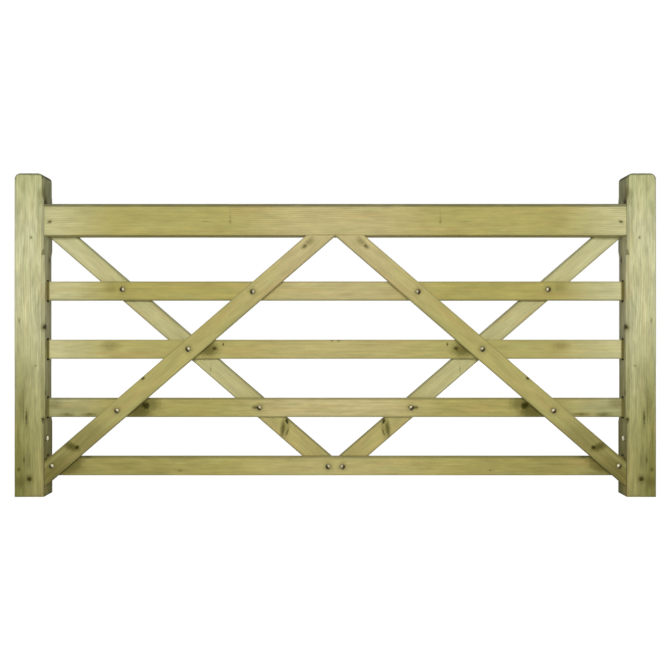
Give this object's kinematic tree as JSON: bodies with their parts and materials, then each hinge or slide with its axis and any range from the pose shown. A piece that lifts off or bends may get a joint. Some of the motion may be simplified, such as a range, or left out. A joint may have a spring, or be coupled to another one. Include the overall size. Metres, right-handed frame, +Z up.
{
  "type": "field gate",
  "caption": "Wide timber field gate leaf: stiles and mortised rails, crossing braces that form a diamond, and cup-headed coach bolts; hangs from either stile.",
  "frame": {"origin": "on the floor, midway between the feet of the two stiles and midway between their front and back faces", "axes": "+X along the gate to the right as seen from the front, +Y from the front to the back, +Z up"},
  "size_m": [2.4, 0.075, 1.21],
  "materials": {
    "treated_pine": "planed softwood, pressure treated, green tint, bare",
    "zinc_plated_steel": "dull zinc plating",
    "peg_wood": "turned hardwood, end grain showing"
  },
  "bodies": {
    "root": {"left_stile": "treated_pine", "right_stile": "treated_pine", "top_rail": "treated_pine", "second_rail": "treated_pine", "third_rail": "treated_pine", "fourth_rail": "treated_pine", "bottom_rail": "treated_pine", "left_front_brace": "treated_pine", "right_front_brace": "treated_pine", "left_back_brace": "treated_pine", "right_back_brace": "treated_pine", "front_brace_bolts": "zinc_plated_steel", "front_brace_washers": "zinc_plated_steel", "front_brace_nuts": "zinc_plated_steel", "crossing_bolts": "zinc_plated_steel", "crossing_washers": "zinc_plated_steel", "crossing_nuts": "zinc_plated_steel", "back_brace_bolts": "zinc_plated_steel", "back_brace_washers": "zinc_plated_steel", "back_brace_nuts": "zinc_plated_steel", "stile_bolts": "zinc_plated_steel", "stile_bolt_washers": "zinc_plated_steel", "stile_bolt_nuts": "zinc_plated_steel", "left_tenon_pegs": "peg_wood", "right_tenon_pegs": "peg_wood", "front_brace_pegs": "peg_wood", "back_brace_pegs": "peg_wood"}
  },
  "joints": []
}
